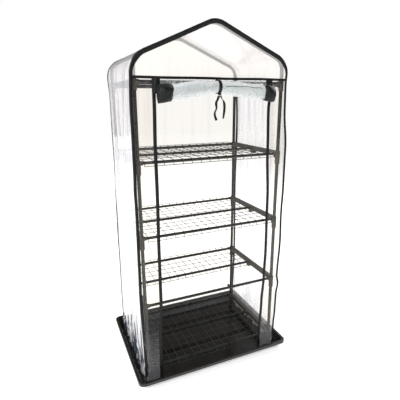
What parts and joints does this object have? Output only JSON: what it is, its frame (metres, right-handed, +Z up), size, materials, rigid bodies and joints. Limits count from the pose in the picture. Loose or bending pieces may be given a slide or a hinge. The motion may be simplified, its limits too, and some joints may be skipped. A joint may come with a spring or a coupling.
{
  "type": "four-tier greenhouse",
  "caption": "Narrow shelved greenhouse: push-fit tube frame with wire shelves under a clear film cover with a rolled-up zip door, standing in a moulded tray",
  "frame": {"origin": "middle of the tray's underside", "axes": "+Z up, -Y out of the door, +X to the right seen from the door"},
  "size_m": [0.796, 0.5894, 1.586],
  "materials": {
    "coated_steel_tube": "semi-gloss powder coat",
    "coated_steel_wire": "semi-gloss powder coat",
    "connector_plastic": "matt moulded",
    "tray_plastic": "satin moulded",
    "clear_film": "clear glossy film",
    "black_tape": "woven tape",
    "zip_metal": "enamelled"
  },
  "bodies": {
    "tray": {"tray": "tray_plastic"},
    "frame": {"post_front_left": "coated_steel_tube", "post_front_right": "coated_steel_tube", "post_rear_left": "coated_steel_tube", "post_rear_right": "coated_steel_tube", "side_rail_left_bottom": "connector_plastic", "side_rail_left_lower": "connector_plastic", "side_rail_left_upper": "connector_plastic", "side_rail_left_top": "connector_plastic", "side_rail_left_eave": "connector_plastic", "side_rail_right_bottom": "connector_plastic", "side_rail_right_lower": "connector_plastic", "side_rail_right_upper": "connector_plastic", "side_rail_right_top": "connector_plastic", "side_rail_right_eave": "connector_plastic", "shelf_tube_bottom_front": "coated_steel_tube", "shelf_tube_bottom_middle": "coated_steel_tube", "shelf_tube_bottom_rear": "coated_steel_tube", "shelf_tube_lower_front": "coated_steel_tube", "shelf_tube_lower_middle": "coated_steel_tube", "shelf_tube_lower_rear": "coated_steel_tube", "shelf_tube_upper_front": "coated_steel_tube", "shelf_tube_upper_middle": "coated_steel_tube", "shelf_tube_upper_rear": "coated_steel_tube", "shelf_tube_top_front": "coated_steel_tube", "shelf_tube_top_middle": "coated_steel_tube", "shelf_tube_top_rear": "coated_steel_tube", "eave_bar_front": "coated_steel_tube", "eave_bar_rear": "coated_steel_tube", "foot_plugs": "connector_plastic", "post_ties": "black_tape", "roof_arch_front": "coated_steel_tube", "roof_arch_rear": "coated_steel_tube"},
    "cover": {"cover_wall_left": "clear_film", "cover_wall_right": "clear_film", "cover_roof_left": "clear_film", "cover_roof_right": "clear_film", "cover_back": "clear_film", "cover_gable_front": "clear_film", "cover_front_left": "clear_film", "cover_front_right": "clear_film", "cover_binding": "black_tape", "door_header": "black_tape", "zip_tape_left": "black_tape", "zip_tape_right": "black_tape", "door_film": "clear_film", "door_tapes": "black_tape"},
    "door_roll": {"door_roll": "clear_film", "door_roll_ends": "black_tape", "door_tie": "black_tape", "door_tie_end_left": "black_tape", "door_tie_end_right": "black_tape"},
    "wire_shelf_bottom": {"wire_shelf_bottom": "coated_steel_wire"},
    "wire_shelf_lower": {"wire_shelf_lower": "coated_steel_wire"},
    "wire_shelf_upper": {"wire_shelf_upper": "coated_steel_wire"},
    "wire_shelf_top": {"wire_shelf_top": "coated_steel_wire"},
    "zip_slider_left": {"zip_slider_left": "zip_metal"},
    "zip_pull_left": {"zip_pull_left": "zip_metal"},
    "zip_slider_right": {"zip_slider_right": "zip_metal"},
    "zip_pull_right": {"zip_pull_right": "zip_metal"}
  },
  "joints": [
    {"name": "frame_lift", "type": "slide", "parent": "tray", "child": "frame", "axis": [0, 0, 1], "range_m": [0, 0.3]},
    {"name": "cover_lift", "type": "slide", "parent": "frame", "child": "cover", "axis": [0, 0, 1], "range_m": [0, 1.6]},
    {"name": "door_drop", "type": "slide", "parent": "cover", "child": "door_roll", "axis": [0, 0, -1], "range_m": [0, 1.15], "deforming": ["door_film", "door_tapes"]},
    {"name": "shelf_bottom_lift", "type": "slide", "parent": "frame", "child": "wire_shelf_bottom", "axis": [0, 0, 1], "range_m": [0, 0.25]},
    {"name": "shelf_lower_lift", "type": "slide", "parent": "frame", "child": "wire_shelf_lower", "axis": [0, 0, 1], "range_m": [0, 0.25]},
    {"name": "shelf_upper_lift", "type": "slide", "parent": "frame", "child": "wire_shelf_upper", "axis": [0, 0, 1], "range_m": [0, 0.25]},
    {"name": "shelf_top_lift", "type": "slide", "parent": "frame", "child": "wire_shelf_top", "axis": [0, 0, 1], "range_m": [0, 0.25]},
    {"name": "zip_left_run", "type": "slide", "parent": "cover", "child": "zip_slider_left", "axis": [0, 0, -1], "range_m": [0, 1.2]},
    {"name": "zip_pull_left_swing", "type": "hinge", "parent": "zip_slider_left", "child": "zip_pull_left", "pos_m": [-0.2628, -0.24135, 1.296], "axis": [-1, 0, 0], "range_deg": [0, 140]},
    {"name": "zip_right_run", "type": "slide", "parent": "cover", "child": "zip_slider_right", "axis": [0, 0, -1], "range_m": [0, 1.2]},
    {"name": "zip_pull_right_swing", "type": "hinge", "parent": "zip_slider_right", "child": "zip_pull_right", "pos_m": [0.2628, -0.24135, 1.296], "axis": [-1, 0, 0], "range_deg": [0, 140]}
  ]
}
